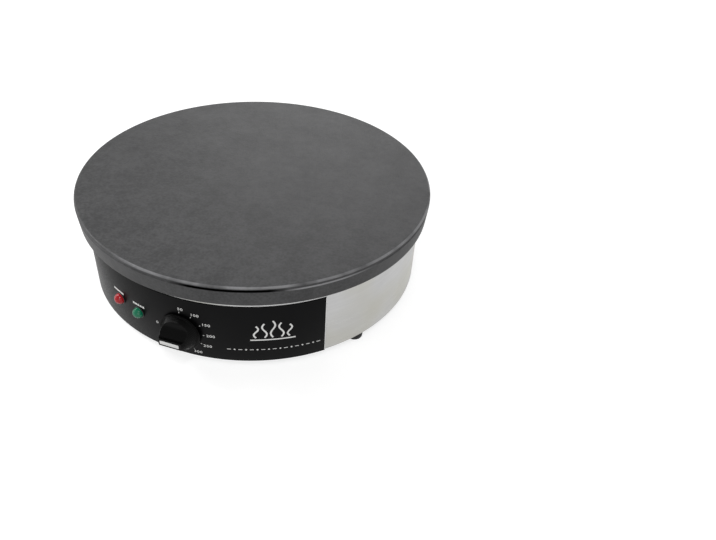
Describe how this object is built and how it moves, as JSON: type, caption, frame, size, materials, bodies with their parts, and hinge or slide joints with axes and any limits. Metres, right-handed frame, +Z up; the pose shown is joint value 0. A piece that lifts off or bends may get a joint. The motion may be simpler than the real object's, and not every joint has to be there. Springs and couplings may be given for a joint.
{
  "type": "electric crepe maker",
  "caption": "Countertop electric crepe maker: a flat round cast griddle plate on a low stainless drum with a wrapped control panel, a thermostat knob and two pilot lamps.",
  "frame": {"origin": "on the resting plane under the drum's axis, in the middle of the footprint", "axes": "+Z up, the thermostat knob faces -Y, +X to the right seen from the front"},
  "size_m": [0.4, 0.4274, 0.1155],
  "materials": {
    "cast_plate": "machined and seasoned, satin dark grey with fine grain",
    "stainless": "brushed round the drum",
    "printed_panel": "black screen-printed sheet, semi-gloss",
    "black_knob": "moulded phenolic, semi-gloss",
    "white_inlay": "white strip",
    "red_lens": "moulded translucent red",
    "green_lens": "moulded translucent green",
    "lamp_plastic": "moulded black nylon",
    "moulding": "dark thermoset moulding",
    "plated_steel": "zinc plated",
    "galvanised_sheet": "galvanised sheet",
    "aluminised_steel": "aluminised sheet",
    "element_sheath": "oxidised stainless tube",
    "copper": "bare copper",
    "brass": "turned brass",
    "silicone": "red-brown silicone",
    "ceramic_fibre": "white needled fibre",
    "foot_rubber": "black moulded rubber",
    "gland_nylon": "black moulded nylon",
    "white_ceramic": "glazed steatite"
  },
  "bodies": {
    "drum": {"griddle_plate": "cast_plate", "drum_shell": "stainless", "control_panel": "printed_panel", "thermostat_mount": "plated_steel", "thermostat_housing": "moulding", "thermostat_terminals": "brass", "thermostat_screws": "plated_steel", "capillary_tube": "copper", "sensing_bulb": "copper", "bulb_saddle": "plated_steel", "red_lamp_lens": "red_lens", "green_lamp_lens": "green_lens", "red_lamp_body": "lamp_plastic", "green_lamp_body": "lamp_plastic", "lamp_nuts": "plated_steel", "lamp_terminals": "brass", "outer_heating_element": "element_sheath", "inner_heating_element": "element_sheath", "element_end_seals": "silicone", "element_terminals": "plated_steel", "element_clamp_plate": "aluminised_steel", "clamp_studs": "plated_steel", "clamp_nuts": "plated_steel", "insulation_disc": "ceramic_fibre", "heat_shield": "aluminised_steel", "shield_nuts": "plated_steel", "plate_brackets": "galvanised_sheet", "plate_bolts": "plated_steel", "thermal_cutout": "moulding", "thermal_cutout_tabs": "brass", "thermal_cutout_screws": "plated_steel", "base_cover": "galvanised_sheet", "base_screws": "plated_steel", "rubber_feet": "foot_rubber", "foot_screws": "plated_steel", "foot_nuts": "plated_steel", "gland_body": "gland_nylon", "gland_seal": "foot_rubber", "gland_cap": "gland_nylon", "gland_locknut": "gland_nylon", "terminal_shelf": "galvanised_sheet", "terminal_block": "white_ceramic", "terminal_inserts": "brass", "terminal_clamp_screws": "plated_steel", "terminal_block_screws": "plated_steel", "earth_stud": "plated_steel", "earth_nuts": "plated_steel"},
    "knob": {"thermostat_knob": "black_knob", "knob_pointer_inlay": "white_inlay", "thermostat_shaft": "plated_steel"}
  },
  "joints": [
    {"name": "knob_turn", "type": "hinge", "parent": "drum", "child": "knob", "pos_m": [0, -0.2, 0.0405], "axis": [0, 1, 0], "range_deg": [0, 240]}
  ]
}
